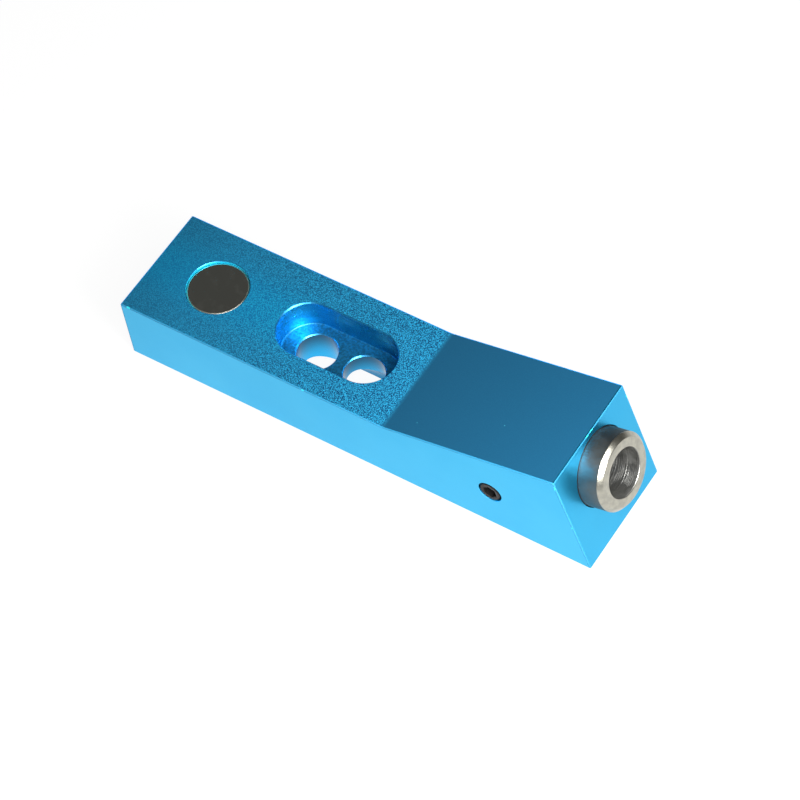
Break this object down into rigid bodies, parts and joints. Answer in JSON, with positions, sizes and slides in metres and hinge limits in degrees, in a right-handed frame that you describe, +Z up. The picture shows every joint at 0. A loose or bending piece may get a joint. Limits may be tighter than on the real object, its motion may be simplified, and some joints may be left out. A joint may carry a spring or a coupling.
{
  "type": "hole positioner",
  "caption": "Pocket hole drill guide: blue anodised block with a slanted steel drill bushing locked by a grub screw, a magnet in its flat top and a chip slot with two windows.",
  "frame": {"origin": "middle of the bottom of the whole guide's box, on the plane of its work face", "axes": "+X along the block towards the bushing end, +Z up out of the work face, -Y towards the side with the grub screw"},
  "size_m": [0.1042, 0.024, 0.0231],
  "materials": {
    "body": "blue anodised, blasted on top and smooth on the sides",
    "drill_bushing": "turned and ground",
    "magnet": "nickel plated",
    "set_screw": "black oxide"
  },
  "bodies": {
    "root": {"body": "body", "drill_bushing": "drill_bushing", "magnet": "magnet", "set_screw": "set_screw"}
  },
  "joints": []
}
